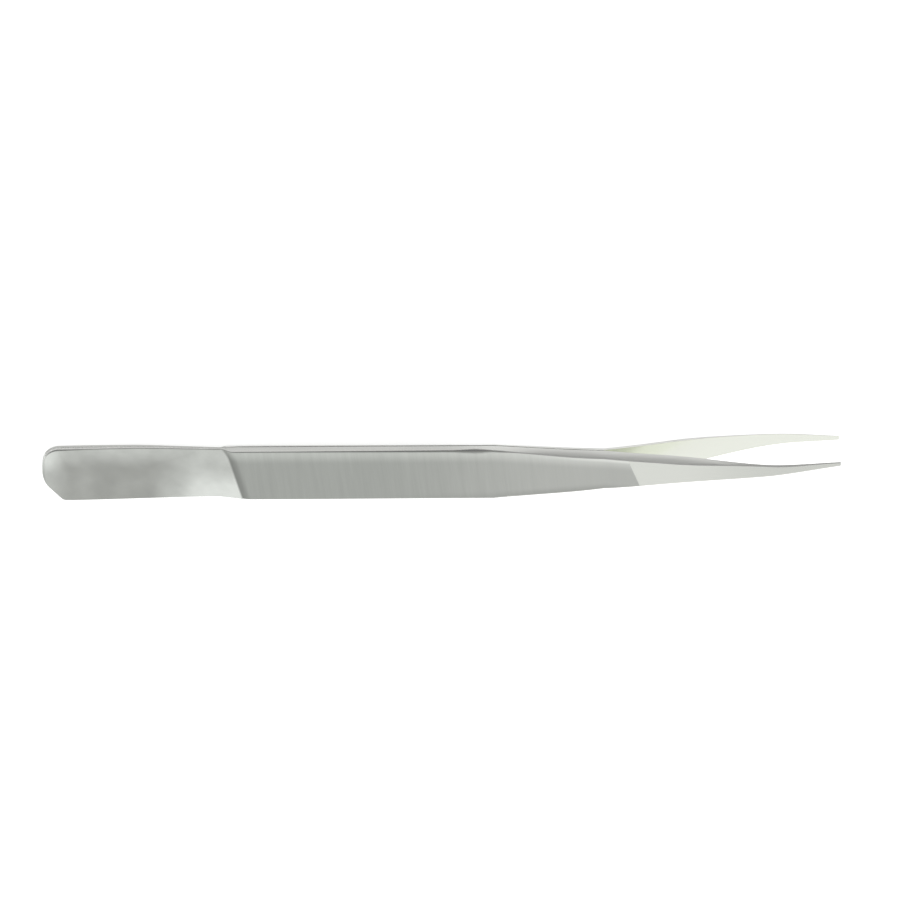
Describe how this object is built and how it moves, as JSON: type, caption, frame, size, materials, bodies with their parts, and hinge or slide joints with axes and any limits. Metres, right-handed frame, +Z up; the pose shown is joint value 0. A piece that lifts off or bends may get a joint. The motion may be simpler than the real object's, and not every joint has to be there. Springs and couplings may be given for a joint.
{
  "type": "jewelers forceps",
  "caption": "Fine-pointed steel spring forceps: two tapered mirrored arms welded at a recessed flat butt, with flat brushed grips and bowed, polished points.",
  "frame": {"origin": "centre of the overall box, at the table that the forceps lie on", "axes": "+X runs from the butt to the points, +Y across the width of the arms towards the edge that the points are nearer to, and +Z up out of the table. The lower arm lies on the table with its butt end and the bow of its point, so the weld plane leans 2.4 degrees up towards +X."},
  "size_m": [0.1152, 0.0086, 0.0106],
  "materials": {
    "steel": "stainless steel, brushed across the arms on the grip and taper, satin on the butt and polished towards the points"
  },
  "bodies": {
    "root": {"upper_arm": "steel", "lower_arm": "steel"}
  },
  "joints": []
}
